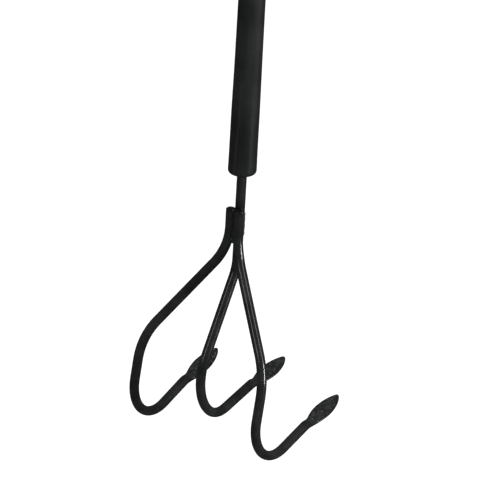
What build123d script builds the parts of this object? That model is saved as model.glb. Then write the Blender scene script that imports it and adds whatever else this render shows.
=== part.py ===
from build123d import *

import os
from math import cos, pi, radians, sin, sqrt

# Three-tine hand cultivator, in millimetres.
# The origin is the centre of the hang hole. +Z runs up the handle and +Y is the way the tines hook.
# A "drop" is a depth below the grip's nose, a "height" is above it, and "back" is towards -Y.

# ---- Driving dimensions: bars and tines ----
rod_d = 8.0
bar_end_chamfer = 0.8
bundle_drop = 28.5           # square-cut tops of the two outer bars
shank_height = 130.0         # top of the middle bar, inside the handle

middle_split_drop = 80.5     # where the middle bar leaves the shank's line
middle_back = 52.5
middle_back_drop = 173.5
middle_heel_back = 19.0
middle_heel_drop = 205.0
middle_leg_length = 50.5
middle_leg_rise = 13.7       # degrees
middle_bend_radii = [30.0, 39.0, 27.0]

outer_split_drop = 62.3      # where the outer bars leave the shank
tine_spread = 59.6           # middle tine to each outer tine
outer_back = 42.0
outer_back_drop = 144.5
outer_heel_back = 58.5
outer_heel_drop = 234.0
outer_bend_radii = [51.0, 62.0, 32.0]

left_leg_length = 85.0       # the outer hooks are bent by hand, so the two sides differ a little
left_leg_rise = 20.2
right_leg_length = 84.0
right_leg_rise = 17.2

# ---- Driving dimensions: forged blades ----
blade_length = 48.5
blade_width = 16.4
blade_thickness = 3.0
blade_tip_thickness = 1.6
blade_taper = 1.85           # higher keeps the leaf wide for longer
blade_tip_roundness = 0.70   # lower makes a blunter tip
blade_widest = 0.53          # share of the blade's length
blade_flattened = 0.25       # share of the blade's length over which the bar is beaten flat
blade_sections = 15
blade_last_section = 0.99    # share of the blade's length, where the tip's small end face is

# ---- Driving dimensions: welds ----
bead_radius = 2.0
bead_stand_off = 2.9         # bead's centre line beyond the line where two bars touch
rear_bead_radius = 1.2
rear_bead_stand_off = 1.6
bead_top_gap = 2.0           # bare groove above each bead
crotch_radius = 5.6
crotch_top_drop = 52.0
crotch_bottom_drop = 57.5
crotch_round = 2.0

# ---- Driving dimensions: grip and handle ----
grip_length = 284.0
grip_nose_d = 23.0
grip_waist_d = 21.5
grip_waist_height = 165.0
grip_end_d = 21.9
grip_nose_round = 3.5
grip_end_round = 0.8
grip_nose_wall = 3.0
tube_d = 17.0
tube_wall = 1.5
bush_flange = 2.5
nose_bush_length = 26.0
upper_bush_length = 22.0
fit_clearance = 0.05         # radial, of each plug in the tube and of the shank in each bore

# ---- Driving dimensions: spring pins ----
pin_d = 4.0
pin_wall = 0.8
pin_slot = 0.9
pin_recess = 0.3             # each end of a pin, inside the tube's outer face
pin_chamfer = 0.3
lower_pin_height = 19.0
upper_pin_inset = 11.0       # below the shank's top

# ---- Driving dimensions: butt cap ----
cap_d = 24.0
cap_plug_length = 20.0
cap_head_height = 24.0
cap_dome_round = 9.0
cap_rim_round = 1.0
cap_flat_width = 18.0        # across the two flats at the hole's mouths
hang_hole_d = 7.0
hang_hole_height = 12.0      # above the grip's end
hang_hole_chamfer = 0.8

# ---- Worked out from the above ----
rod_r = rod_d / 2
blade_set_down = rod_r - blade_thickness / 2   # the flat lies at the bar's underside
tube_bore_r = tube_d / 2 - tube_wall
plug_r = tube_bore_r - fit_clearance
shank_bore_r = rod_r + fit_clearance
nose_z = -(grip_length + hang_hole_height)
grip_end_z = nose_z + grip_length
tube_start_z = nose_z + grip_nose_wall + bush_flange
shank_top_z = nose_z + shank_height
lower_pin_z = nose_z + lower_pin_height
upper_pin_z = shank_top_z - upper_pin_inset
bundle_back = sqrt(3) * rod_r          # three equal bars packed in a triangle
bundle_centre = -bundle_back * 2 / 3


def below_nose(drop):
    """The height of a point this far below the grip's nose."""
    return nose_z - drop


# ---- Tines ----
def blade_half_width(share):
    """Half the blade's width at a share of its length: a leaf, round at the neck and at the tip."""
    if share < blade_widest:
        swell = (1 - cos(pi * share / blade_widest)) / 2
        return rod_r + (blade_width / 2 - rod_r) * swell
    beyond = (share - blade_widest) / (1 - blade_widest)
    return blade_width / 2 * (1 - beyond**blade_taper) ** blade_tip_roundness


def still_round(share):
    """How much of the bar's roundness is left at a share of the blade's length, from 1 to 0."""
    return (1 + cos(pi * min(share / blade_flattened, 1))) / 2


def blade_half_thickness(share):
    """Half the blade's thickness: from the round bar down to the flat, thinner again at the tip."""
    flat = blade_thickness / 2 - (blade_thickness - blade_tip_thickness) / 2 * share
    return flat + (rod_r - flat) * still_round(share)


def forged_blade(root, direction):
    """The flat leaf at the end of a bar, lofted through ellipses from the round section."""
    down = direction.cross(Vector(1, 0, 0)).normalized()
    sections = []
    for number in range(blade_sections):
        share = sin(pi / 2 * number / (blade_sections - 1)) * blade_last_section
        centre = root + direction * (share * blade_length)
        centre += down * (blade_set_down * (1 - still_round(share)))
        half_width = blade_half_width(share)
        half_thickness = min(blade_half_thickness(share), half_width)
        place = Plane(centre, x_dir=(1, 0, 0), z_dir=direction)
        sections.append(place * Ellipse(half_width, half_thickness))
    return loft(sections)


def tine(start, split, back, heel, bend_radii, leg_length, leg_rise):
    """One bar, bent at its split, back and heel, and forged flat at its end."""
    leg_direction = Vector(0, cos(radians(leg_rise)), sin(radians(leg_rise)))
    blade_root = Vector(*heel) + leg_direction * leg_length
    path = FilletPolyline(start, split, back, heel, blade_root, radius=bend_radii)
    section = Plane(path @ 0, z_dir=path % 0) * Circle(rod_r)
    bar = sweep(section, path=path)
    bar = chamfer(bar.edges().group_by(Axis.Z)[-1], bar_end_chamfer)
    return bar + forged_blade(blade_root, leg_direction)


def middle_tine():
    """The shank and the middle tine, which are one bar."""
    return tine(
        start=(0, 0, shank_top_z),
        split=(0, 0, below_nose(middle_split_drop)),
        back=(0, -middle_back, below_nose(middle_back_drop)),
        heel=(0, -middle_heel_back, below_nose(middle_heel_drop)),
        bend_radii=middle_bend_radii,
        leg_length=middle_leg_length,
        leg_rise=middle_leg_rise,
    )


def outer_tine(side, leg_length, leg_rise):
    """A tine that lies against the back of the shank and fans out to one side."""
    return tine(
        start=(side * rod_r, -bundle_back, below_nose(bundle_drop)),
        split=(side * rod_r, -bundle_back, below_nose(outer_split_drop)),
        back=(side * tine_spread, -outer_back, below_nose(outer_back_drop)),
        heel=(side * tine_spread, -outer_heel_back, below_nose(outer_heel_drop)),
        bend_radii=outer_bend_radii,
        leg_length=leg_length,
        leg_rise=leg_rise,
    )


# ---- Welds ----
def groove_bead(touch, outward, radius, stand_off, bars):
    """A bead that runs down the groove between two bars that touch along a line."""
    top = below_nose(bundle_drop + bead_top_gap)
    bottom = below_nose(crotch_top_drop)
    centre = Vector(*touch) + Vector(*outward).normalized() * stand_off
    bead = Pos(centre.X, centre.Y, bottom) * Cylinder(
        radius, top - bottom, align=(Align.CENTER, Align.CENTER, Align.MIN)
    )
    bead = fillet(bead.edges().group_by(Axis.Z)[-1], radius * 0.8)
    return bead - bars


def crotch_weld(bars):
    """The pool of weld that fills the fork where the three bars part."""
    top = below_nose(crotch_top_drop)
    bottom = below_nose(crotch_bottom_drop)
    pool = Pos(0, bundle_centre, bottom) * Cylinder(
        crotch_radius, top - bottom, align=(Align.CENTER, Align.CENTER, Align.MIN)
    )
    pool = fillet(pool.edges().group_by(Axis.Z)[0], crotch_round)
    return pool - bars


# ---- Handle ----
def grip_sleeve():
    """The soft sleeve: a long waisted tube with a closed, rounded nose that the shank passes."""
    nose_r = grip_nose_d / 2
    with BuildSketch(Plane.XZ) as profile:
        with BuildLine():
            outside = ThreePointArc(
                (nose_r, nose_z + grip_nose_round),
                (grip_waist_d / 2, nose_z + grip_waist_height),
                (grip_end_d / 2, grip_end_z - grip_end_round),
            )
            rim = RadiusArc(
                outside @ 1, (grip_end_d / 2 - grip_end_round, grip_end_z), -grip_end_round
            )
            Line(rim @ 1, (tube_d / 2, grip_end_z))
            Line((tube_d / 2, grip_end_z), (tube_d / 2, nose_z + grip_nose_wall))
            Line((tube_d / 2, nose_z + grip_nose_wall), (shank_bore_r, nose_z + grip_nose_wall))
            Line((shank_bore_r, nose_z + grip_nose_wall), (shank_bore_r, nose_z))
            Line((shank_bore_r, nose_z), (nose_r - grip_nose_round, nose_z))
            RadiusArc((nose_r - grip_nose_round, nose_z), outside @ 0, -grip_nose_round)
        make_face()
    return revolve(profile.sketch, Axis.Z)


def cross_hole(height):
    """The hole for a spring pin, straight through the handle along X."""
    return Pos(0, 0, height) * Rot(0, 90, 0) * Cylinder(pin_d / 2, 2 * tube_d)


def handle_tube(holes):
    """The steel tube that stiffens the grip."""
    length = grip_end_z - tube_start_z
    place = Pos(0, 0, tube_start_z)
    upright = (Align.CENTER, Align.CENTER, Align.MIN)
    tube = place * Cylinder(tube_d / 2, length, align=upright)
    return tube - place * Cylinder(tube_bore_r, length, align=upright) - holes


def nose_bush(hole):
    """The flanged plug that centres the shank in the tube's lower end."""
    upright = (Align.CENTER, Align.CENTER, Align.MIN)
    length = bush_flange + nose_bush_length
    plug = Cylinder(plug_r, length, align=upright) + Cylinder(tube_d / 2, bush_flange, align=upright)
    plug -= Cylinder(shank_bore_r, length, align=upright)
    return Pos(0, 0, nose_z + grip_nose_wall) * plug - hole


def upper_bush(hole):
    """The plug that holds the shank's top end in the middle of the tube."""
    hanging = (Align.CENTER, Align.CENTER, Align.MAX)
    plug = Cylinder(plug_r, upper_bush_length, align=hanging)
    plug -= Cylinder(shank_bore_r, upper_bush_length, align=hanging)
    return Pos(0, 0, shank_top_z) * plug - hole


def spring_pin(height):
    """A slotted pin, rolled from strip, that lies along X."""
    length = tube_d - 2 * pin_recess
    pin = Cylinder(pin_d / 2, length)
    pin = chamfer(pin.edges().filter_by(GeomType.CIRCLE), pin_chamfer)
    pin -= Cylinder(pin_d / 2 - pin_wall, length)
    pin -= Pos(pin_d / 2, 0, 0) * Box(pin_d, pin_slot, length)
    return Pos(0, 0, height) * Rot(0, 90, 0) * pin


def butt_cap():
    """The domed end cap, with a plug for the tube and a hang hole from front to back."""
    upright = (Align.CENTER, Align.CENTER, Align.MIN)
    head = Cylinder(cap_d / 2, cap_head_height, align=upright)
    head = fillet(head.edges().group_by(Axis.Z)[-1], cap_dome_round)
    head = fillet(head.edges().group_by(Axis.Z)[0], cap_rim_round)
    for side in (-1, 1):
        shaving = Box(cap_d, cap_d, cap_head_height, align=(Align.CENTER, Align.MIN, Align.MIN))
        if side < 0:
            shaving = Rot(0, 0, 180) * shaving
        flat_start = hang_hole_height - hang_hole_d / 2 - 2 * hang_hole_chamfer
        head -= Pos(0, side * cap_flat_width / 2, flat_start) * shaving
    plug = Cylinder(plug_r, cap_plug_length, align=(Align.CENTER, Align.CENTER, Align.MAX))
    plug = chamfer(plug.edges().group_by(Axis.Z)[0], bar_end_chamfer)
    hole = Rot(90, 0, 0) * Cylinder(hang_hole_d / 2, cap_flat_width)
    mouth = Cone(
        hang_hole_d / 2,
        hang_hole_d / 2 + hang_hole_chamfer,
        hang_hole_chamfer,
        align=(Align.CENTER, Align.CENTER, Align.MAX),
    )
    cap = Pos(0, 0, grip_end_z) * (head + plug) - hole
    for turn in (-90, 90):
        cap -= Rot(turn, 0, 0) * Pos(0, 0, cap_flat_width / 2) * mouth
    return cap


# ---- Build ----
lower_hole = cross_hole(lower_pin_z)
upper_hole = cross_hole(upper_pin_z)
middle_bar = middle_tine() - lower_hole - upper_hole
left_bar = outer_tine(-1, left_leg_length, left_leg_rise)
right_bar = outer_tine(1, right_leg_length, right_leg_rise)

parts = {
    "shank_and_middle_tine": middle_bar,
    "left_tine": left_bar,
    "right_tine": right_bar,
    "weld_crotch": crotch_weld([middle_bar, left_bar, right_bar]),
    "weld_rear": groove_bead(
        (0, -bundle_back), (0, -1), rear_bead_radius, rear_bead_stand_off, [left_bar, right_bar]
    ),
    "grip_sleeve": grip_sleeve(),
    "handle_tube": handle_tube([lower_hole, upper_hole]),
    "nose_bush": nose_bush(lower_hole),
    "upper_bush": upper_bush(upper_hole),
    "lower_spring_pin": spring_pin(lower_pin_z),
    "upper_spring_pin": spring_pin(upper_pin_z),
    "butt_cap": butt_cap(),
}
for name, side, bar in (("weld_left", -1, left_bar), ("weld_right", 1, right_bar)):
    touch = (side * rod_r / 2, -bundle_back / 2)
    outward = (side * bundle_back, rod_r)
    parts[name] = groove_bead(touch, outward, bead_radius, bead_stand_off, [middle_bar, bar])

os.makedirs("parts", exist_ok=True)
for name, shape in parts.items():
    export_step(shape, f"parts/{name}.step")
    print(f"{name}: {shape.volume:.1f} mm3")
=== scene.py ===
"""Looks of the hand cultivator: a shank that is its own middle tine, two tines welded to it, and a soft grip.

Everything is in metres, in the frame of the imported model: the origin is the centre of the hang hole,
+Z runs up the handle and +Y is the way the tines hook. A "drop" is a depth below the grip's nose.
"""
import logging
import math
from dataclasses import dataclass
from enum import Enum

import bmesh
import bpy
import numpy as np
from mathutils import Matrix, Vector


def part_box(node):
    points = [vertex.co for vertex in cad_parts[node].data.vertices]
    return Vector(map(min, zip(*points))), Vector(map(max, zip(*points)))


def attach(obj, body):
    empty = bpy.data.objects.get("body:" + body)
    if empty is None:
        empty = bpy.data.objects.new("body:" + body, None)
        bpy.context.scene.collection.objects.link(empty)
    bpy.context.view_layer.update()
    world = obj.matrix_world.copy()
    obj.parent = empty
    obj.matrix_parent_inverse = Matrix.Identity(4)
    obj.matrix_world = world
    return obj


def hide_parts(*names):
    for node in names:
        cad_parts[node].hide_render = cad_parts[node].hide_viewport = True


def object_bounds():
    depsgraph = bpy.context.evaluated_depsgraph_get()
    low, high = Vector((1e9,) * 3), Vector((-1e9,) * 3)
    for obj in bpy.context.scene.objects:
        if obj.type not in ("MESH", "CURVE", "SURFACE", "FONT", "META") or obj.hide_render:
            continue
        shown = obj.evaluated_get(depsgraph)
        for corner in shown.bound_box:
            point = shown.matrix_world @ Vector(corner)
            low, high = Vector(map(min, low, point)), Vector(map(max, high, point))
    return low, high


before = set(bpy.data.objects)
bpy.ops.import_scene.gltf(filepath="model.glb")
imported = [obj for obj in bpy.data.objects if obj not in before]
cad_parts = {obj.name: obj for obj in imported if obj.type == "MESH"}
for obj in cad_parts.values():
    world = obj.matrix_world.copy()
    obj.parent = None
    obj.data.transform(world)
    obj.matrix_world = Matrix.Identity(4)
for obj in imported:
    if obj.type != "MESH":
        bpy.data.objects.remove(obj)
CAD_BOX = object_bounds()

LOG = logging.getLogger("hand_cultivator")
MM = 0.001
SMOOTH_LIMIT = math.radians(38)
Pair = tuple[float, float]
Triple = tuple[float, float, float]
Socket = bpy.types.NodeSocket
Material = bpy.types.Material
Object = bpy.types.Object

# A noise bunches about a half: these ranges hold the middle of its values and most of them.
NOISE_MIDDLE: Pair = (0.35, 0.65)
NOISE_MOST: Pair = (0.3, 0.7)
NONE_TO_ALL: Pair = (0.0, 1.0)


class Wear(Enum):
    """How much use a coated surface shows."""

    SHOP_NEW = 0.25
    HANDLED = 0.55


class Light(Enum):
    """The lamps of the studio, by what each is for."""

    KEY = "key_softbox"
    WASH = "wash_softbox"
    FILL = "fill_softbox"


# ---- Mesh work ----
def unit(vectors: np.ndarray) -> np.ndarray:
    """Vectors of length one along the last axis."""
    return vectors / np.linalg.norm(vectors, axis=-1, keepdims=True)


def smooth_step(share: np.ndarray) -> np.ndarray:
    """A share held to 0..1 and eased at both ends: 3 s squared less 2 s cubed."""
    held = np.clip(share, 0.0, 1.0)
    return held * held * (3.0 - 2.0 * held)


def grid_quads(rows: int, columns: int, rows_close: bool) -> np.ndarray:
    """Corner numbers of the quads of a grid whose columns run round and meet again.

    Args:
        rows: Number of rings.
        columns: Number of points on each ring.
        rows_close: True when the last ring is joined to the first one.

    Returns:
        One row of four point numbers for each quad.
    """
    row = np.arange(rows if rows_close else rows - 1)[:, None]
    column = np.arange(columns)[None, :]
    after = (column + 1) % columns
    below = (row + 1) % rows
    upper, lower = row * columns, below * columns
    corners = (upper + column, upper + after, lower + after, lower + column)
    return np.stack(corners, axis=-1).reshape(-1, 4)


def pole_fan(pole: int, ring: np.ndarray) -> np.ndarray:
    """Triangles from one point to each side of a ring.

    Args:
        pole: Number of the point at the centre.
        ring: Numbers of the ring's points, in order.

    Returns:
        One row of three point numbers for each triangle.
    """
    return np.stack([np.full(len(ring), pole), np.roll(ring, -1), ring], axis=-1)


def enclosed_volume(points: np.ndarray, triangles: np.ndarray) -> float:
    """The volume inside closed triangles, negative when they face inwards: a sum of tetrahedra."""
    first, second, third = (points[triangles[:, corner]] for corner in range(3))
    return float(np.einsum("ij,ij->", first, np.cross(second, third)) / 6)


def add_object(name: str, data: bpy.types.ID) -> Object:
    """A new object in the scene, at the origin."""
    made = bpy.data.objects.new(name, data)
    bpy.context.scene.collection.objects.link(made)
    return made


def bearing(turn: float, height: float) -> Vector:
    """The direction at an angle round the tool, counted from its back, and an angle above it."""
    return Vector((math.sin(turn) * math.cos(height), -math.cos(turn) * math.cos(height), math.sin(height)))


@dataclass(frozen=True)
class Wave:
    """A wave on a turned surface: height * sin(around * angle + along * place + start)."""

    height: float
    around: int
    along: float
    start: float = 0.0

    def at(self, angle: np.ndarray, place: np.ndarray) -> np.ndarray:
        """The wave's height at each angle and place."""
        return self.height * np.sin(self.around * angle + self.along * place + self.start)


@dataclass
class Skin:
    """A closed surface of rings, with a pole at each end or with its last ring joined to its first.

    The rings are an array of rows, columns and three coordinates. Every column runs round.
    """

    rings: np.ndarray
    poles: np.ndarray | None = None
    marks: dict[str, np.ndarray] | None = None

    def to_object(self, name: str) -> Object:
        """Puts the surface into a mesh, facing outwards, and links it to the scene.

        Args:
            name: The piece's name.

        Returns:
            The new object, at the origin.
        """
        rows, columns = self.rings.shape[:2]
        points = self.rings.reshape(-1, 3)
        quads = grid_quads(rows, columns, rows_close=self.poles is None)
        fans = np.empty((0, 3), int)
        if self.poles is not None:
            first_ring = np.arange(columns)
            last_ring = first_ring + (rows - 1) * columns
            ends = (pole_fan(len(points), first_ring), pole_fan(len(points) + 1, last_ring)[:, ::-1])
            points = np.vstack([points, self.poles])
            fans = np.vstack(ends)
        halves = np.vstack([quads[:, [0, 1, 2]], quads[:, [0, 2, 3]], fans])
        if enclosed_volume(points, halves) < 0:
            quads, fans = quads[:, ::-1], fans[:, ::-1]
        mesh = bpy.data.meshes.new(name)
        mesh.from_pydata(points.tolist(), [], quads.tolist() + fans.tolist())
        for label, values in (self.marks or {}).items():
            padded = np.zeros(len(points), np.float32)
            padded[: rows * columns] = np.broadcast_to(values, (rows, columns)).reshape(-1)
            if self.poles is not None:
                padded[-2:] = padded[0], padded[rows * columns - 1]
            mesh.attributes.new(label, "FLOAT", "POINT").data.foreach_set("value", padded)
        mesh.shade_smooth()
        mesh.set_sharp_from_angle(angle=SMOOTH_LIMIT)
        return add_object(name, mesh)


def settle(piece: Object, nodes: tuple[str, ...], finish: Material) -> None:
    """Dresses a new piece and says which CAD nodes it stands for.

    Args:
        piece: The new object.
        nodes: The CAD nodes that it replaces.
        finish: The material that it wears.
    """
    piece.data.materials.clear()
    piece.data.materials.append(finish)
    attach(piece, "root")
    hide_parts(*nodes)
    LOG.info("%s: %d points, stands for %s", piece.name, len(piece.data.vertices), ", ".join(nodes))


def dress_node(node: str, finish: Material) -> None:
    """Gives a CAD node that keeps its own shape a finish of this script.

    Args:
        node: The CAD node's name.
        finish: The material that it wears.
    """
    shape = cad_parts[node].data
    shape.materials.clear()
    shape.materials.append(finish)
    LOG.info("%s: keeps its own shape, in %s", node, finish.name)


# ---- Finishes ----
class ShaderBench:
    """A material with one glossy shader, and short calls for the nodes that feed it."""

    def __init__(self, name: str) -> None:
        """Starts an empty material.

        Args:
            name: The material's name.
        """
        self.material = bpy.data.materials.new(name)
        self.material.use_nodes = True
        self.tree = self.material.node_tree
        self.shader = self.tree.nodes["Principled BSDF"]
        self.place = self.tree.nodes.new("ShaderNodeTexCoord").outputs["Object"]

    def node(self, kind: str, **settings: object) -> bpy.types.Node:
        """Adds a node and sets its options.

        Args:
            kind: The node's type.
            settings: Options of the node, by name.

        Returns:
            The new node.
        """
        made = self.tree.nodes.new(kind)
        for option, value in settings.items():
            setattr(made, option, value)
        return made

    def noise(self, per_metre: float, detail: float = 2.0, stretch: Triple = (1, 1, 1)) -> Socket:
        """Cloudy noise on the object's own coordinates.

        Args:
            per_metre: How many cells of noise fill a metre.
            detail: How many finer layers are added.
            stretch: The pattern's scale along each axis; under one draws it out.

        Returns:
            The noise, from about 0 to 1.
        """
        mapping = self.node("ShaderNodeMapping")
        mapping.inputs["Scale"].default_value = stretch
        cloud = self.node("ShaderNodeTexNoise")
        cloud.inputs["Scale"].default_value = per_metre
        cloud.inputs["Detail"].default_value = detail
        self.tree.links.new(self.place, mapping.inputs["Vector"])
        self.tree.links.new(mapping.outputs["Vector"], cloud.inputs["Vector"])
        return cloud.outputs["Fac"]

    def cells(self, per_metre: float) -> Socket:
        """Distance to the middle of irregular cells, for pebbled and eroded skins."""
        pebbles = self.node("ShaderNodeTexVoronoi", feature="SMOOTH_F1")
        pebbles.inputs["Scale"].default_value = per_metre
        self.tree.links.new(self.place, pebbles.inputs["Vector"])
        return pebbles.outputs["Distance"]

    def mark(self, label: str) -> Socket:
        """A value painted on the piece's points, such as where its edges are."""
        return self.node("ShaderNodeAttribute", attribute_name=label).outputs["Fac"]

    def clouds(self, per_metre: float, detail: float) -> Socket:
        """Soft patches of noise, from 0 to 1."""
        return self.spread(self.noise(per_metre, detail), NOISE_MIDDLE, NONE_TO_ALL)

    def sheen(self, pattern: Socket, roughness: float, smoother: float, rougher: float) -> Socket:
        """A roughness that wanders with a pattern, from a little smoother to a little rougher."""
        return self.spread(pattern, NOISE_MOST, (roughness - smoother, roughness + rougher))

    def spread(self, value: Socket, reads: Pair, gives: Pair) -> Socket:
        """Stretches one range of values over another, and holds the result to it.

        Args:
            value: The socket to read.
            reads: The range that it is read in.
            gives: The range that it is turned into.

        Returns:
            The stretched value.
        """
        ranger = self.node("ShaderNodeMapRange")
        for name, number in zip(("From Min", "From Max", "To Min", "To Max"), reads + gives):
            ranger.inputs[name].default_value = number
        self.tree.links.new(value, ranger.inputs["Value"])
        return ranger.outputs["Result"]

    def maths(self, operation: str, first: Socket, second: Socket) -> Socket:
        """Two values joined by one operation, such as MULTIPLY."""
        joint = self.node("ShaderNodeMath", operation=operation)
        self.tree.links.new(first, joint.inputs[0])
        self.tree.links.new(second, joint.inputs[1])
        return joint.outputs["Value"]

    def tint(self, share: Socket, low: Triple | Socket, high: Triple) -> Socket:
        """A colour between two others.

        Args:
            share: 0 gives the low colour and 1 the high one.
            low: A colour, or the socket of an earlier mix.
            high: A colour.

        Returns:
            The mixed colour.
        """
        mixer = self.node("ShaderNodeMix", data_type="RGBA")
        colours = [socket for socket in mixer.inputs if socket.type == "RGBA"]
        if isinstance(low, Socket):
            self.tree.links.new(low, colours[0])
        else:
            colours[0].default_value = (*low, 1)
        colours[1].default_value = (*high, 1)
        self.tree.links.new(share, mixer.inputs["Factor"])
        return next(socket for socket in mixer.outputs if socket.type == "RGBA")

    def relief(self, height: Socket, depth: float, under: Socket | None = None) -> Socket:
        """A bump of a real depth.

        Args:
            height: The pattern, from 0 to 1.
            depth: The height of the pattern in metres.
            under: The relief that this one lies on.

        Returns:
            The bent normal.
        """
        bump = self.node("ShaderNodeBump")
        bump.inputs["Strength"].default_value = 1.0
        bump.inputs["Distance"].default_value = depth
        self.tree.links.new(height, bump.inputs["Height"])
        if under is not None:
            self.tree.links.new(under, bump.inputs["Normal"])
        return bump.outputs["Normal"]

    def feed(self, **sources: Socket | float) -> Material:
        """Links or sets the shader's inputs, with underscores for spaces, and ends the work.

        Args:
            sources: A socket or a plain value for each of the shader's inputs.

        Returns:
            The finished material.
        """
        for name, source in sources.items():
            socket = self.shader.inputs[name.replace("_", " ")]
            if isinstance(source, Socket):
                self.tree.links.new(source, socket)
            else:
                socket.default_value = source
        return self.material


@dataclass(frozen=True)
class Enamel:
    """Satin black stoved enamel: a faint orange peel, duller, mottled and specked where it was forged, with
    painted shade darkening its edges.
    """

    name: str
    deep: Triple = (0.0075, 0.0078, 0.0084)
    pale: Triple = (0.0150, 0.0155, 0.0160)
    # The rim colour is painted shade: edges, the sawn tops and weld crests are darkened towards it.
    rim: Triple = (0.0030, 0.0031, 0.0034)
    scuffed: Triple = (0.075, 0.075, 0.077)
    bare: Triple = (0.105, 0.105, 0.108)
    gloss_roughness: float = 0.17
    forged_roughness: float = 0.20
    clouds_per_metre: float = 70
    mottle_per_metre: float = 330
    mottle_reads: Pair = (0.42, 0.60)
    mottle_lift: float = 1.7
    # How strongly the edges take the painted rim shade.
    rim_shade_reads: Pair = (0.02, 0.45)
    nicks_per_metre: float = 900
    nick_reads: Pair = (0.56, 0.70)
    specks_per_metre: float = 620
    speck_reads: Pair = (0.63, 0.70)
    sheen_per_metre: float = 160
    peel_per_metre: float = 1100
    peel_depth: float = 0.006 * MM
    scale_per_metre: float = 420
    scale_depth: float = 0.12 * MM
    wear: Wear = Wear.SHOP_NEW

    def make(self) -> Material:
        """Builds the enamel. Forged areas read the mark "forged"; edges read the other mark, which paints
        shade on them and nicks them with wear.
        """
        bench = ShaderBench(self.name)
        forged, edge = bench.mark("forged"), bench.mark("edge")
        ground = bench.tint(bench.clouds(self.clouds_per_metre, detail=4), self.deep, self.pale)
        mottle = bench.spread(bench.noise(self.mottle_per_metre, detail=3), self.mottle_reads, NONE_TO_ALL)
        mottle = bench.maths("MULTIPLY", mottle, forged)
        lifted = tuple(self.mottle_lift * part for part in self.pale)
        mottled = bench.tint(bench.maths("MULTIPLY", mottle, mottle), ground, lifted)
        # Painted shade: the edges are darkened towards the rim colour.
        rim_shaded = bench.tint(bench.spread(edge, self.rim_shade_reads, NONE_TO_ALL), mottled, self.rim)
        specks = bench.spread(bench.noise(self.specks_per_metre), self.speck_reads, NONE_TO_ALL)
        specked = bench.tint(bench.maths("MULTIPLY", specks, forged), rim_shaded, self.bare)
        nicks = bench.noise(self.nicks_per_metre, detail=3)
        nicks = bench.spread(nicks, self.nick_reads, (0, self.wear.value))
        colour = bench.tint(bench.maths("MULTIPLY", nicks, edge), specked, self.scuffed)
        sheen = bench.sheen(bench.noise(self.sheen_per_metre, detail=3), self.gloss_roughness, 0.03, 0.05)
        dulled = bench.maths("ADD", sheen, bench.spread(forged, NONE_TO_ALL, (0, self.forged_roughness)))
        scale = bench.maths("MULTIPLY", bench.noise(self.scale_per_metre, detail=4), forged)
        normal = bench.relief(bench.noise(self.peel_per_metre, detail=1), self.peel_depth)
        normal = bench.relief(scale, self.scale_depth, under=normal)
        return bench.feed(Base_Color=colour, Roughness=dulled, Normal=normal)


@dataclass(frozen=True)
class GripRubber:
    """Soft black sleeve with a fine moulded grain and faint streaks drawn out along the handle."""

    name: str = "grip_rubber"
    deep: Triple = (0.0068, 0.0076, 0.0074)
    pale: Triple = (0.0128, 0.0141, 0.0138)
    polished: Triple = (0.0190, 0.0200, 0.0198)
    roughness: float = 0.50
    shine: float = 0.21
    clouds_per_metre: float = 38
    sheen_per_metre: float = 90
    grain_per_metre: float = 2600
    grain_depth: float = 0.035 * MM
    streaks_per_metre: float = 420
    streak_stretch: Triple = (1, 1, 0.03)
    streak_reads: Pair = (0.52, 0.72)
    streak_share: float = 0.6
    streak_depth: float = 0.03 * MM

    def make(self) -> Material:
        """Builds the rubber: grain of about 0.4 mm, faint streaks along Z, and a handled sheen."""
        bench = ShaderBench(self.name)
        streaks = bench.noise(self.streaks_per_metre, stretch=self.streak_stretch)
        ground = bench.tint(bench.clouds(self.clouds_per_metre, detail=3), self.deep, self.pale)
        streaked = bench.spread(streaks, self.streak_reads, (0, self.streak_share))
        colour = bench.tint(streaked, ground, self.polished)
        sheen = bench.sheen(bench.noise(self.sheen_per_metre, detail=4), self.roughness, 0.05, 0.07)
        normal = bench.relief(bench.cells(self.grain_per_metre), self.grain_depth)
        normal = bench.relief(streaks, self.streak_depth, under=normal)
        return bench.feed(Base_Color=colour, Roughness=sheen, Normal=normal, Specular_IOR_Level=self.shine)


@dataclass(frozen=True)
class DrawnSteel:
    """Bare steel with fine lines along its length, as it comes from a die."""

    name: str
    dark: Triple
    bright: Triple
    roughness: float
    lines: Triple
    lines_per_metre: float = 900
    line_depth: float = 0.01 * MM
    bloom_per_metre: float = 120

    def make(self) -> Material:
        """Builds the steel: die lines, and a bloom of cleaner and duller patches."""
        bench = ShaderBench(self.name)
        lines = bench.noise(self.lines_per_metre, detail=3, stretch=self.lines)
        colour = bench.tint(bench.clouds(self.bloom_per_metre, detail=4), self.dark, self.bright)
        sheen = bench.sheen(lines, self.roughness, 0.08, 0.10)
        normal = bench.relief(lines, self.line_depth)
        return bench.feed(Base_Color=colour, Roughness=sheen, Normal=normal, Metallic=1.0)


@dataclass(frozen=True)
class MouldedPlastic:
    """Moulded plastic with a spark-eroded skin."""

    name: str
    deep: Triple
    pale: Triple
    roughness: float
    erosion_per_metre: float
    erosion_depth: float
    clouds_per_metre: float = 60
    sheen_per_metre: float = 140

    def make(self) -> Material:
        """Builds the plastic: an eroded skin over slow changes of colour."""
        bench = ShaderBench(self.name)
        colour = bench.tint(bench.clouds(self.clouds_per_metre, detail=4), self.deep, self.pale)
        sheen = bench.sheen(bench.noise(self.sheen_per_metre, detail=3), self.roughness, 0.05, 0.06)
        normal = bench.relief(bench.cells(self.erosion_per_metre), self.erosion_depth)
        return bench.feed(Base_Color=colour, Roughness=sheen, Normal=normal)


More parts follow.
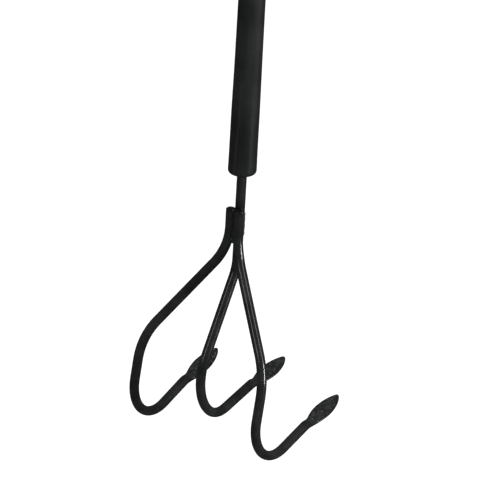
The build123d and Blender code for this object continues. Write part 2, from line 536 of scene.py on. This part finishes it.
@dataclass(frozen=True)
class StudioPaint:
    """Pale matt paint for the studio floor."""

    name: str = "studio_paint"
    pale: Triple = (0.86, 0.86, 0.86)
    paler: Triple = (0.88, 0.88, 0.88)
    clouds_per_metre: float = 0.8

    def make(self) -> Material:
        """Builds the paint, with the slight clouds of a rolled coat."""
        bench = ShaderBench(self.name)
        colour = bench.tint(bench.noise(self.clouds_per_metre, detail=3), self.pale, self.paler)
        return bench.feed(Base_Color=colour, Roughness=0.9, Specular_IOR_Level=0.0)


# ---- Bars ----
@dataclass(frozen=True)
class BentBar:
    """The centre line of a bar: straight runs joined by round bends."""

    corners: tuple[Triple, ...]
    radii: Triple

    def stations(self, spacing: float) -> tuple[np.ndarray, np.ndarray, np.ndarray]:
        """Walks the line at an even spacing.

        A run is its start plus a share of its length. A bend of radius R about a centre is
        centre + R (cos t * arm + sin t * heading), from t = 0 to the angle between its two runs.

        Args:
            spacing: The longest step, in metres.

        Returns:
            The points, the headings and how much the bar is bent at each, from 0 to 1.
        """
        corners = [np.array(corner) for corner in self.corners]
        points, headings, bent = [], [], []
        reached = corners[0]
        for corner, before, after, radius in zip(corners[1:], corners[:-2], corners[2:], self.radii):
            heading, onward = unit(corner - before), unit(after - corner)
            turn = math.acos(float(heading @ onward))
            start = corner - heading * radius * math.tan(turn / 2)
            run_steps = self.steps(np.linalg.norm(start - reached), spacing)
            shares = np.linspace(0, 1, run_steps, endpoint=False)[:, None]
            points.append(reached + (start - reached) * shares)
            headings.append(np.broadcast_to(heading, (len(shares), 3)))
            bent.append(np.zeros(len(shares)))
            centre = corner + unit(onward - heading) * radius / math.cos(turn / 2)
            arm = (start - centre) / radius
            angles = np.linspace(0, turn, self.steps(turn * radius, spacing), endpoint=False)[:, None]
            points.append(centre + radius * (np.cos(angles) * arm + np.sin(angles) * heading))
            headings.append(np.cos(angles) * heading - np.sin(angles) * arm)
            bent.append(np.ones(len(angles)))
            reached = corner + onward * radius * math.tan(turn / 2)
        last = unit(corners[-1] - reached)
        shares = np.linspace(0, 1, self.steps(np.linalg.norm(corners[-1] - reached), spacing))[:, None]
        points.append(reached + (corners[-1] - reached) * shares)
        headings.append(np.broadcast_to(last, (len(shares), 3)))
        bent.append(np.zeros(len(shares)))
        return np.vstack(points), np.vstack(headings), np.concatenate(bent)

    @staticmethod
    def steps(length: float, spacing: float) -> int:
        """The number of stations on a stretch, at least two."""
        return max(2, math.ceil(length / spacing))


@dataclass(frozen=True)
class Leaf:
    """The flat blade that is forged at the end of a bar."""

    length: float = 48.5 * MM
    width: float = 16.4 * MM
    thickness: float = 3.0 * MM
    tip_thickness: float = 1.6 * MM
    widest: float = 0.53
    flattened: float = 0.25
    taper: float = 1.85
    tip_roundness: float = 0.70
    last_share: float = 0.99
    tip_round_share: float = 0.982
    tip_closed: float = 0.985
    squareness: float = 3.2
    sections: int = 76
    dents: int = 26
    dent_depth: float = 0.20 * MM
    dent_radius: float = 2.3 * MM
    dents_along: Pair = (0.1, 1.0)
    dents_across: Pair = (-0.42, 0.42)
    dent_sizes: Pair = (0.7, 1.3)
    dent_depths: Pair = (0.4, 1.0)

    def shares(self) -> np.ndarray:
        """Where the sections stand, closer together towards the tip: the sine of a quarter turn."""
        quarter = np.linspace(0, math.pi / 2, self.sections)[1:]
        return np.sin(quarter) * self.last_share

    def still_round(self, share: np.ndarray) -> np.ndarray:
        """How much of the bar's roundness is left, falling from 1 to 0 along half a cosine wave."""
        return (1 + np.cos(math.pi * np.minimum(share / self.flattened, 1))) / 2

    def half_width(self, share: np.ndarray, bar_radius: float) -> np.ndarray:
        """Half the leaf's width: a cosine swell from the bar, then a round taper to the tip."""
        swell = (1 - np.cos(math.pi * np.minimum(share / self.widest, 1))) / 2
        neck = bar_radius + (self.width / 2 - bar_radius) * swell
        beyond = np.clip((share - self.widest) / (1 - self.widest), 0, 1)
        taper = self.width / 2 * (1 - beyond**self.taper) ** self.tip_roundness
        return np.where(share < self.widest, neck, taper)

    def half_thickness(self, share: np.ndarray, bar_radius: float) -> np.ndarray:
        """Half the leaf's thickness: from the bar's radius to the flat, thinner again at the tip."""
        flat = self.thickness / 2 - (self.thickness - self.tip_thickness) / 2 * share
        return flat + (bar_radius - flat) * self.still_round(share)

    def half_sizes(self, share: np.ndarray, bar_radius: float) -> tuple[np.ndarray, np.ndarray]:
        """Half the width and half the thickness, both closed like a quarter circle at the tip."""
        width = self.half_width(share, bar_radius)
        thickness = np.minimum(self.half_thickness(share, bar_radius), width)
        past = (share - self.tip_round_share) / (self.last_share - self.tip_round_share)
        closing = np.sqrt(1 - np.clip(past, 0, self.tip_closed) ** 2)
        return width * closing, thickness * closing


@dataclass(frozen=True)
class Sections:
    """The cross-sections of a tine, from its sawn top to its tip, with a row in each array for each."""

    centres: np.ndarray
    along: np.ndarray
    widths: np.ndarray
    heights: np.ndarray
    flatness: np.ndarray


@dataclass(frozen=True)
class ForgedTine:
    """One round bar with a square-cut top, bent to a hook and forged to a leaf at its end."""

    name: str
    node: str
    corners: tuple[Triple, ...]
    radii: Triple
    leg_rise: float
    seed: int
    leaf: Leaf = Leaf()
    bar_radius: float = 4.0 * MM
    chamfer: float = 0.8 * MM
    bend_flattening: float = 0.022
    bend_narrowing: float = 0.2
    bend_blend: int = 9
    spacing: float = 1.1 * MM
    around: int = 48
    edge_narrowness: int = 10
    # How much painted rim shade and wear the sawn top takes.
    sawn_top_shade_and_wear: float = 0.7
    forged_reach: float = 1.3

    def build(self, finish: Material) -> Object:
        """Makes the tine and dresses it.

        Each section is a superellipse across the bar: side * a * |cos t|^e + up * b * |sin t|^e, each
        with the sign of its cosine or sine. It is round along the bar and squarer on the leaf.

        Args:
            finish: The enamel.

        Returns:
            The finished piece.
        """
        cut = self.sections()
        flatness = cut.flatness[:, None]
        turn = np.linspace(0, 2 * math.pi, self.around, endpoint=False)
        power = 2 / (2 + (self.leaf.squareness - 2) * flatness)
        across = np.sign(np.cos(turn)) * np.abs(np.cos(turn)) ** power
        over = np.sign(np.sin(turn)) * np.abs(np.sin(turn)) ** power
        sideways = across * cut.widths[:, None]
        sunk = self.hammer_marks(sideways, cut)
        upwards = over * (cut.heights[:, None] - sunk * np.abs(over))
        side = unit(np.array([1.0, 0, 0]) - cut.along * cut.along[:, :1])
        up = np.cross(side, cut.along)
        rings = cut.centres[:, None] + side[:, None] * sideways[..., None]
        rings = rings + up[:, None] * upwards[..., None]
        # Where the painted rim shade and wear nicks fall: the leaf's sides and the sawn top.
        edge = np.abs(across) ** self.edge_narrowness * flatness
        edge[: len(self.chamfered_top())] = self.sawn_top_shade_and_wear
        forged = smooth_step(flatness * self.forged_reach) * np.ones_like(across)
        piece = Skin(rings, cut.centres[[0, -1]], {"forged": forged, "edge": edge}).to_object(self.name)
        settle(piece, (self.node,), finish)
        return piece

    def sections(self) -> Sections:
        """Lays out the sections of the sawn top, of the bent bar and of the leaf.

        The bar is flattened a little in its bends, eased in and out over a few stations. The leaf
        starts on the bar's centre line and sinks by how much thicker the bar is, halved.

        Returns:
            The sections, from top to tip.
        """
        leaf = self.leaf
        points, headings, bent = BentBar(self.corners, self.radii).stations(self.spacing)
        window = np.ones(2 * self.bend_blend + 1)
        eased = np.convolve(np.pad(bent, self.bend_blend, mode="edge"), window, "valid") / len(window)
        flattening = self.bend_flattening * eased[1:]
        top = self.chamfered_top()
        share = leaf.shares()
        forged_flat = 1 - leaf.still_round(share)
        direction = np.array([0, math.cos(self.leg_rise), math.sin(self.leg_rise)])
        down = np.cross(direction, (1, 0, 0))
        set_down = (self.bar_radius - leaf.thickness / 2) * forged_flat
        leaf_centres = points[-1] + share[:, None] * leaf.length * direction
        leaf_centres = leaf_centres + set_down[:, None] * down
        leaf_widths, leaf_heights = leaf.half_sizes(share, self.bar_radius)
        bar_widths = self.bar_radius * (1 - flattening * self.bend_narrowing)
        bar_heights = self.bar_radius * (1 - flattening)
        top_along = np.broadcast_to(headings[0], (len(top), 3))
        leaf_along = np.broadcast_to(direction, leaf_centres.shape)
        return Sections(
            centres=np.vstack([points[0] + top[:, :1] * headings[0], points[1:], leaf_centres]),
            along=np.vstack([top_along, headings[1:], leaf_along]),
            widths=np.concatenate([top[:, 1], bar_widths, leaf_widths]),
            heights=np.concatenate([top[:, 1], bar_heights, leaf_heights]),
            flatness=np.concatenate([np.zeros(len(top) + len(flattening)), forged_flat]),
        )

    def chamfered_top(self) -> np.ndarray:
        """Distance from the sawn end and radius of the first rings: flat face, chamfer, then bar."""
        inside, full = self.bar_radius - self.chamfer, self.bar_radius
        face = [(0.0, inside * 0.5), (0.0, inside * 0.97), (0.03 * MM, inside)]
        return np.array(face + [(self.chamfer * 0.95, full - 0.04 * MM), (self.chamfer * 1.15, full)])

    def hammer_marks(self, sideways: np.ndarray, cut: Sections) -> np.ndarray:
        """Shallow round dents over the leaf, each a bell curve of distance from where the hammer fell.

        Args:
            sideways: How far to the side of its section's centre every point is.
            cut: The tine's sections.

        Returns:
            The depth at every point.
        """
        chance = np.random.default_rng(self.seed)
        leaf = self.leaf
        walked = np.concatenate([[0], np.cumsum(np.linalg.norm(np.diff(cut.centres, axis=0), axis=1))])
        leaf_start = walked[-len(leaf.shares())]
        fell_along = leaf_start + chance.uniform(*leaf.dents_along, leaf.dents) * leaf.length
        fell_across = chance.uniform(*leaf.dents_across, leaf.dents) * leaf.width
        reach = leaf.dent_radius * chance.uniform(*leaf.dent_sizes, leaf.dents)
        depth = leaf.dent_depth * chance.uniform(*leaf.dent_depths, leaf.dents)
        ahead = (walked[:, None, None] - fell_along) / reach
        beside = (sideways[..., None] - fell_across) / reach
        marks = (depth * np.exp(-(ahead**2 + beside**2))).sum(axis=-1)
        return np.minimum(marks, 2 * leaf.dent_depth) * cut.flatness[:, None]


# ---- Welds ----
@dataclass(frozen=True)
class GrooveBead:
    """A rippled bead of weld that fills the groove between two bars."""

    name: str
    node: str
    touch: Pair
    outward: Pair
    radius: float
    stand_off: float
    seed: int
    ripple: float = 0.055
    ripple_length: float = 2.1 * MM
    ripple_sag: float = 0.35
    drift: float = 0.8
    drift_along: float = 9
    unevenness: float = 0.05
    uneven_along: float = 23
    end_taper: float = 1.3
    thinnest: float = 0.02
    sink: float = 0.12 * MM
    forged_look: float = 0.2
    crest_shade_and_wear: float = 0.6
    rows: int = 110
    around: int = 40

    def build(
        self, top: float, bottom: float, bars: list[np.ndarray], bar_radius: float, finish: Material
    ) -> Object:
        """Makes the bead and dresses it.

        The bead is a round column whose radius rises and falls with each ripple, bowed so that the
        ripples sag in the middle of the groove. A ray from its centre line stops at that radius or
        just inside the skin of a bar, whichever is nearer.

        Args:
            top: Height of its upper end.
            bottom: Height of its lower end.
            bars: Centre lines of the bars beside it.
            bar_radius: The bars' radius.
            finish: The enamel.

        Returns:
            The finished piece.
        """
        outward = unit(np.array(self.outward))
        centre = np.array(self.touch) + outward * self.stand_off
        share = np.linspace(0, 1, self.rows)[:, None]
        height = bottom + (top - bottom) * share
        turn = np.linspace(0, 2 * math.pi, self.around, endpoint=False)[None, :]
        rays = np.stack([np.cos(turn), np.sin(turn)], axis=-1)
        facing = (rays @ outward).clip(0, 1)
        chance = np.random.default_rng(self.seed)
        drift_start, uneven_start = chance.uniform(0, 2 * math.pi, 2)
        drift = self.drift * np.sin(self.drift_along * share + drift_start)
        phase = 2 * math.pi * (height / self.ripple_length + self.ripple_sag * facing**2) + drift
        ripples = self.ripple * (0.6 * np.sin(phase) + 0.4 * np.abs(np.cos(phase / 2)))
        swell = ripples + self.unevenness * np.sin(self.uneven_along * share + uneven_start)
        ends = np.minimum(share, 1 - share) * (top - bottom) / (self.end_taper * self.radius)
        rounding = np.sqrt(np.clip(1 - (1 - np.clip(ends, 0, 1)) ** 2, self.thinnest**2, 1))
        reach = self.radius * (1 + swell - self.ripple) * rounding
        for line in bars:
            reach = np.minimum(reach, self.to_bar(centre, rays, height, line, bar_radius) + self.sink)
        rings = np.empty((self.rows, self.around, 3))
        rings[..., :2] = centre + rays * reach[..., None]
        rings[..., 2] = height
        poles = np.array([[*centre, bottom], [*centre, top]])
        # The ripples' outward crests take painted rim shade and wear nicks.
        shaded_worn_crests = self.crest_shade_and_wear * facing * (0.5 + 0.5 * np.sin(phase))
        marks = {"forged": np.full((1, 1), self.forged_look), "edge": shaded_worn_crests}
        piece = Skin(rings, poles, marks).to_object(self.name)
        settle(piece, (self.node,), finish)
        return piece

    @staticmethod
    def to_bar(
        centre: np.ndarray, rays: np.ndarray, height: np.ndarray, line: np.ndarray, radius: float
    ) -> np.ndarray:
        """How far each level ray goes before it meets a bar: the nearer root of a line and a circle.

        Args:
            centre: The bead's centre, in plan.
            rays: Unit directions in plan.
            height: Heights of the rows.
            line: The bar's centre line.
            radius: The bar's radius.

        Returns:
            The distances, endless where a ray misses.
        """
        rising = line[np.argsort(line[:, 2])]
        bar = np.stack([np.interp(height, rising[:, 2], rising[:, axis]) for axis in (0, 1)], axis=-1)
        offset = bar - centre
        ahead = (rays * offset).sum(axis=-1)
        inside = ahead**2 - ((offset**2).sum(axis=-1) - radius**2)
        distance = ahead - np.sqrt(np.clip(inside, 0, None))
        return np.where((inside > 0) & (ahead > 0), distance.clip(0, None), np.inf)


@dataclass(frozen=True)
class CrotchPool:
    """The pool of weld that bridges the fork where the three bars part."""

    name: str = "crotch_weld_pool"
    node: str = "weld_crotch"
    radius: float = 5.6 * MM
    round_below: float = 2.4 * MM
    round_above: float = 1.2 * MM
    fullness: float = 0.93
    lobes: float = 0.05
    waves: tuple[Wave, ...] = (Wave(0.018, 7, 9), Wave(0.014, 11, -5, 1.3))
    forged_and_shaded_look: float = 0.2
    rows: int = 60
    around: int = 96

    def build(self, axis: Pair, finish: Material) -> Object:
        """Makes the pool and dresses it.

        The pool is a drum with three soft lobes, one for each groove. Its rim is rounded above and
        rounder below, where it sagged, and low waves run round it.

        Args:
            axis: Where the middle of the three bars is, in plan.
            finish: The enamel.

        Returns:
            The finished piece.
        """
        low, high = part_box(self.node)
        share = np.linspace(0, 1, self.rows)[:, None]
        share = (1 - np.cos(math.pi * share)) / 2
        height = low.z + (high.z - low.z) * share
        turn = np.linspace(0, 2 * math.pi, self.around, endpoint=False)[None, :]
        above = np.clip(1 - (high.z - height) / self.round_above, 0, 0.999)
        below = np.clip(1 - (height - low.z) / self.round_below, 0, 0.999)
        rim = self.round_below * (1 - np.sqrt(1 - below**2))
        rim = rim + self.round_above * (1 - np.sqrt(1 - above**2))
        lobe = self.lobes * np.cos(3 * (turn + math.pi / 2))
        waves = sum(wave.at(turn, share) for wave in self.waves)
        reach = (self.radius - rim) * (self.fullness + lobe + waves)
        rings = np.empty((self.rows, self.around, 3))
        rings[..., 0] = axis[0] + np.cos(turn) * reach
        rings[..., 1] = axis[1] + np.sin(turn) * reach
        rings[..., 2] = height
        poles = np.array([[*axis, low.z], [*axis, high.z]])
        # The whole pool takes some forged mottle, wear nicks and painted rim shade, which darkens it evenly.
        marks = dict.fromkeys(("forged", "edge"), np.full((1, 1), self.forged_and_shaded_look))
        piece = Skin(rings, poles, marks).to_object(self.name)
        settle(piece, (self.node,), finish)
        return piece


# ---- The welded head ----
@dataclass(frozen=True)
class TinePath:
    """How a bar runs: its shoulder and heel as distances behind the shank and below the grip's nose."""

    split_drop: float
    shoulder: Pair
    heel: Pair
    radii: Triple


@dataclass(frozen=True)
class Leg:
    """The straight run from a bar's heel to its leaf."""

    length: float
    rise: float


@dataclass(frozen=True)
class TineHead:
    """The shank, its three tines and the welds that hold them together."""

    bar_radius: float = 4.0 * MM
    shank_height: float = 130.0 * MM
    bundle_drop: float = 28.5 * MM
    bead_top_gap: float = 2.0 * MM
    bead_bottom_drop: float = 52.0 * MM
    tine_spread: float = 59.6 * MM
    middle_path: TinePath = TinePath(
        split_drop=80.5 * MM,
        shoulder=(52.5 * MM, 173.5 * MM),
        heel=(19.0 * MM, 205.0 * MM),
        radii=(30.0 * MM, 39.0 * MM, 27.0 * MM),
    )
    outer_path: TinePath = TinePath(
        split_drop=62.3 * MM,
        shoulder=(42.0 * MM, 144.5 * MM),
        heel=(58.5 * MM, 234.0 * MM),
        radii=(51.0 * MM, 62.0 * MM, 32.0 * MM),
    )
    middle_leg: Leg = Leg(50.5 * MM, math.radians(13.7))
    left_leg: Leg = Leg(85.0 * MM, math.radians(20.2))
    right_leg: Leg = Leg(84.0 * MM, math.radians(17.2))

    def build(self) -> None:
        """Makes the three tines and the four welds."""
        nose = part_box("grip_sleeve")[0].z
        back = math.sqrt(3) * self.bar_radius
        shank_top = (0.0, 0.0, nose + self.shank_height)
        left_top, right_top = ((side * self.bar_radius, -back, nose - self.bundle_drop) for side in (-1, 1))
        outer, spread = self.outer_path, self.tine_spread
        plans = (
            ("middle_tine_bar", "shank_and_middle_tine", shank_top, 0, self.middle_path, self.middle_leg, 7),
            ("left_tine_bar", "left_tine", left_top, -spread, outer, self.left_leg, 11),
            ("right_tine_bar", "right_tine", right_top, spread, outer, self.right_leg, 23),
        )
        enamel = Enamel("black_enamel").make()
        lines = []
        for plan in plans:
            tine = self.tine(nose, *plan)
            tine.build(enamel)
            lines.append(BentBar(tine.corners, tine.radii).stations(tine.spacing)[0])
        weld_enamel = Enamel("weld_enamel", gloss_roughness=0.33, wear=Wear.HANDLED).make()
        top = nose - self.bundle_drop - self.bead_top_gap
        bottom = nose - self.bead_bottom_drop
        for bead, neighbours in zip(self.beads(back), (lines[:2], lines[::2], lines[1:])):
            bead.build(top, bottom, neighbours, self.bar_radius, weld_enamel)
        CrotchPool().build((0, -back * 2 / 3), weld_enamel)

    @staticmethod
    def tine(
        nose: float, name: str, node: str, top: Triple, spread: float, path: TinePath, leg: Leg, seed: int
    ) -> ForgedTine:
        """Lays out one bar by the corners of its centre line.

        Args:
            nose: Height of the grip's nose.
            name: The piece's name.
            node: The CAD node that it replaces.
            top: The middle of the bar's sawn top.
            spread: How far to the side the bar ends up.
            path: The bar's shoulder, heel and bends.
            leg: The straight run from the heel to the leaf.
            seed: Number that places the hammer marks.

        Returns:
            The tine, with its corners in the model's frame.
        """
        split = (top[0], top[1], nose - path.split_drop)
        shoulder, heel = ((spread, -behind, nose - drop) for behind, drop in (path.shoulder, path.heel))
        end = (spread, heel[1] + leg.length * math.cos(leg.rise), heel[2] + leg.length * math.sin(leg.rise))
        return ForgedTine(name, node, (top, split, shoulder, heel, end), path.radii, leg.rise, seed)

    def beads(self, back: float) -> tuple[GrooveBead, GrooveBead, GrooveBead]:
        """The beads in the left, right and rear grooves.

        Args:
            back: How far the outer bars' centres are behind the shank's.

        Returns:
            The three beads.
        """
        made = []
        for word, side, seed in (("left", -1, 3), ("right", 1, 5)):
            touch, outward = (side * self.bar_radius / 2, -back / 2), (side * back, self.bar_radius)
            names = (f"{word}_weld_bead", f"weld_{word}")
            made.append(GrooveBead(*names, touch, outward, radius=2.0 * MM, stand_off=2.9 * MM, seed=seed))
        names = ("rear_weld_bead", "weld_rear")
        rear = GrooveBead(*names, (0, -back), (0, -1), radius=1.2 * MM, stand_off=1.6 * MM, seed=8)
        return (*made, rear)


# ---- The handle ----
@dataclass(frozen=True)
class SoftGrip:
    """The long sleeve with a closed, rounded nose that the shank passes."""

    nose_radius: float = 11.5 * MM
    waist_radius: float = 10.75 * MM
    waist_height: float = 165.0 * MM
    end_radius: float = 10.95 * MM
    nose_round: float = 3.5 * MM
    end_round: float = 0.8 * MM
    nose_wall: float = 3.0 * MM
    bore_radius: float = 8.5 * MM
    shank_bore_radius: float = 4.05 * MM
    lip_round: float = 0.7 * MM
    unevenness: float = 0.035 * MM
    waves: tuple[Wave, ...] = (Wave(1.0, 2, 31), Wave(0.6, 3, -57, 1))
    swell: float = 0.16 * MM
    swell_height: float = 55.0 * MM
    swell_reach: float = 26.0 * MM
    ease_length: float = 8.0 * MM
    around: int = 128
    rows: int = 220
    round_steps: int = 12

    def build(self, finish: Material) -> Object:
        """Makes the sleeve and dresses it.

        A closed outline of radius and height is turned about the handle's axis. Its long outside is
        the parabola through the nose's, the waist's and the end's radii, with a low swell where the
        hand closes and slow waves of a few hundredths of a millimetre, as a soft moulding has.

        Args:
            finish: The rubber.

        Returns:
            The finished piece.
        """
        low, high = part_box("grip_sleeve")
        outline, outside = self.outline(low.z, high.z)
        turn = np.linspace(0, 2 * math.pi, self.around, endpoint=False)[None, :]
        radius, height = outline[:, :1], outline[:, 1:]
        waves = sum(wave.at(turn, height) for wave in self.waves)
        swell = np.exp(-(((height - low.z - self.swell_height) / self.swell_reach) ** 2))
        radius = radius + outside[:, None] * (self.unevenness * waves + self.swell * swell)
        level = np.broadcast_to(height, radius.shape)
        rings = np.stack([radius * np.cos(turn), radius * np.sin(turn), level], axis=-1)
        piece = Skin(rings).to_object("soft_grip")
        settle(piece, ("grip_sleeve",), finish)
        return piece

    def outline(self, nose: float, end: float) -> tuple[np.ndarray, np.ndarray]:
        """The sleeve's outline, once round, and how much of the swell and waves each point takes.

        Args:
            nose: Height of the nose's face.
            end: Height of the upper end.

        Returns:
            Radius and height of each point, and a share: 1 on the long outside, eased to 0 at its ends.
        """
        heights = np.linspace(nose + self.nose_round, end - self.end_round, self.rows)
        knots = np.array([heights[0], nose + self.waist_height, heights[-1]])
        curve = np.polyfit(knots - nose, (self.nose_radius, self.waist_radius, self.end_radius), 2)
        outside = np.column_stack([np.polyval(curve, heights - nose), heights])
        quarter = np.linspace(0, math.pi / 2, self.round_steps)
        fall, climb = 1 - np.sin(quarter), 1 - np.cos(quarter)
        nose_turn = np.column_stack(
            [self.nose_radius - self.nose_round * fall, nose + self.nose_round * climb]
        )
        end_turn = np.column_stack([self.end_radius - self.end_round * climb, end - self.end_round * fall])
        lip = np.column_stack(
            [self.shank_bore_radius + self.lip_round * climb, nose + self.lip_round * fall]
        )
        inside = np.array([
            (self.bore_radius, end),
            (self.bore_radius, nose + self.nose_wall),
            (self.shank_bore_radius, nose + self.nose_wall),
        ])
        face = np.array([((self.nose_radius - self.nose_round + self.shank_bore_radius) / 2, nose)])
        parts = (outside, end_turn[1:], inside, lip, face, nose_turn[:-1])
        eased = smooth_step(np.minimum(heights - heights[0], heights[-1] - heights) / self.ease_length)
        return np.vstack(parts), np.concatenate([eased, np.zeros(sum(len(part) for part in parts[1:]))])


@dataclass(frozen=True)
class ButtCap:
    """The domed cap with the hang hole: the CAD shape, with its skin joined up and shaded by angle."""

    sharp_from: float = math.radians(30)
    flat_within: float = math.radians(0.5)
    merge_distance: float = 1e-6

    def build(self, finish: Material) -> Object:
        """Copies the CAD cap, merges its loose triangles and dissolves the edges inside its flat faces.

        Args:
            finish: The plastic.

        Returns:
            The finished piece.
        """
        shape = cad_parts["butt_cap"].data.copy()
        work = bmesh.new()
        work.from_mesh(shape)
        bmesh.ops.remove_doubles(work, verts=work.verts, dist=self.merge_distance)
        bmesh.ops.dissolve_limit(work, angle_limit=self.flat_within, verts=work.verts, edges=work.edges)
        work.to_mesh(shape)
        work.free()
        shape.name = "end_cap"
        shape.shade_smooth()
        shape.set_sharp_from_angle(angle=self.sharp_from)
        piece = add_object("end_cap", shape)
        settle(piece, ("butt_cap",), finish)
        return piece


@dataclass(frozen=True)
class Handle:
    """The grip, its steel tube, the bushes and pins inside it, and the cap."""

    def build(self) -> None:
        """Makes the pieces that show and dresses the CAD pieces that keep their shape."""
        SoftGrip().build(GripRubber().make())
        black, paler_black = (0.0085, 0.0088, 0.0095), (0.0160, 0.0165, 0.0170)
        ButtCap().build(MouldedPlastic("cap_plastic", black, paler_black, 0.46, 2300, 0.03 * MM).make())
        tube = DrawnSteel("tube_steel", (0.42, 0.43, 0.45), (0.60, 0.61, 0.62), 0.32, lines=(1, 1, 0.02))
        dress_node("handle_tube", tube.make())
        nylon, pale_nylon = (0.66, 0.63, 0.56), (0.76, 0.74, 0.69)
        natural = MouldedPlastic("bush_nylon", nylon, pale_nylon, 0.42, 1500, 0.02 * MM).make()
        for bush in ("nose_bush", "upper_bush"):
            dress_node(bush, natural)
        blued = DrawnSteel("pin_steel", (0.10, 0.11, 0.14), (0.24, 0.25, 0.28), 0.36, lines=(0.03, 1, 1))
        spring_steel = blued.make()
        for pin in ("lower_spring_pin", "upper_spring_pin"):
            dress_node(pin, spring_steel)


# ---- Studio ----
@dataclass(frozen=True)
class Softbox:
    """A flat lamp that faces the tool from a direction, given as angles round it and above it."""

    light: Light
    turn: float
    height: float
    distance: float
    width: float
    length: float
    power: float

    def hang(self, aim: Vector) -> None:
        """Hangs the lamp, with its length upright.

        Args:
            aim: The point that it faces.
        """
        lamp = bpy.data.lights.new(self.light.value, "AREA")
        lamp.shape = "RECTANGLE"
        lamp.size, lamp.size_y, lamp.energy = self.width, self.length, self.power
        towards = bearing(math.radians(self.turn), math.radians(self.height))
        holder = add_object(self.light.value, lamp)
        holder.location = aim + towards * self.distance
        holder.rotation_euler = towards.to_track_quat("Z", "Y").to_euler()
        LOG.info("%s: %.0f degrees round, %.0f up", self.light.value, self.turn, self.height)


@dataclass(frozen=True)
class Studio:
    """A pale floor, soft lamps, and a camera with a long lens that looks down on the head."""

    floor_gap: float = 0.45
    floor_half: float = 30.0
    sun_strength: float = 3.6
    sun_softness: float = math.radians(40)
    sun_tilt: Triple = (math.radians(12), math.radians(8), 0)
    room_light: float = 0.05
    camera_turn: float = math.radians(33.45)
    camera_height: float = math.radians(22.41)
    camera_roll: float = math.radians(3.32)
    camera_distance: float = 4.384
    lens: float = 395.0
    aim_below_nose: float = 112.5 * MM
    aim_right: float = 12.3 * MM
    aim_up: float = 43.1 * MM

    def build(self) -> None:
        """Sets up everything that isn't the tool."""
        bpy.context.scene.view_settings.view_transform = "Standard"
        self.lay_floor()
        self.light_room()
        aim = Vector((0, 0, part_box("grip_sleeve")[0].z - self.aim_below_nose))
        boxes = (
            Softbox(Light.KEY, turn=101, height=14, distance=3.0, width=0.20, length=1.25, power=64),
            Softbox(Light.WASH, turn=95, height=40, distance=3.0, width=0.5, length=1.2, power=10),
            Softbox(Light.FILL, turn=-15, height=30, distance=3.0, width=0.35, length=1.0, power=6.6),
        )
        for box in boxes:
            box.hang(aim)
        self.stand_camera(aim)

    def lay_floor(self) -> None:
        """Lays the floor well below the tines, hidden from reflections so that the enamel stays black."""
        level = CAD_BOX[0].z - self.floor_gap
        signs = ((-1, -1), (1, -1), (1, 1), (-1, 1))
        corners = [(x * self.floor_half, y * self.floor_half, level) for x, y in signs]
        mesh = bpy.data.meshes.new("studio_floor")
        mesh.from_pydata(corners, [], [(0, 1, 2, 3)])
        mesh.materials.append(StudioPaint().make())
        floor = add_object("studio_floor", mesh)
        floor.visible_glossy = False

    def light_room(self) -> None:
        """Adds the even light of a pale room, white to the eye, and one broad lamp overhead."""
        world = bpy.data.worlds.new("pale_room")
        world.use_nodes = True
        tree = world.node_tree
        background = tree.nodes["Background"]
        background.inputs["Color"].default_value = (1, 1, 1, 1)
        seen = tree.nodes.new("ShaderNodeLightPath").outputs["Is Camera Ray"]
        strength = tree.nodes.new("ShaderNodeMapRange")
        strength.inputs["To Min"].default_value = self.room_light
        strength.inputs["To Max"].default_value = 1.0
        tree.links.new(seen, strength.inputs["Value"])
        tree.links.new(strength.outputs["Result"], background.inputs["Strength"])
        bpy.context.scene.world = world
        sun = bpy.data.lights.new("overhead", "SUN")
        sun.energy, sun.angle = self.sun_strength, self.sun_softness
        holder = add_object("overhead", sun)
        holder.rotation_euler = self.sun_tilt
        holder.visible_glossy = False

    def stand_camera(self, aim: Vector) -> None:
        """Stands the camera behind the tool and to its right, looking down on it.

        Args:
            aim: A point on the shank's line, which lies a little below and left of the picture's middle.
        """
        back = bearing(self.camera_turn, self.camera_height)
        level = Vector((math.cos(self.camera_turn), math.sin(self.camera_turn), 0))
        upright = back.cross(level)
        right = level * math.cos(self.camera_roll) + upright * math.sin(self.camera_roll)
        up = upright * math.cos(self.camera_roll) - level * math.sin(self.camera_roll)
        lens = bpy.data.cameras.new("long_lens")
        lens.lens, lens.clip_start, lens.clip_end = self.lens, 0.1, 100.0
        camera = add_object("camera", lens)
        camera.rotation_euler = Matrix((right, up, back)).transposed().to_euler()
        camera.location = aim + right * self.aim_right + up * self.aim_up + back * self.camera_distance
        bpy.context.scene.camera = camera


def main() -> None:
    """Builds the head, the handle and the studio, in that order."""
    logging.basicConfig(level=logging.INFO, format="%(name)s: %(message)s")
    for assembly in (TineHead(), Handle(), Studio()):
        assembly.build()
        LOG.info("%s is built", type(assembly).__name__)


if __name__ == "__main__":
    main()
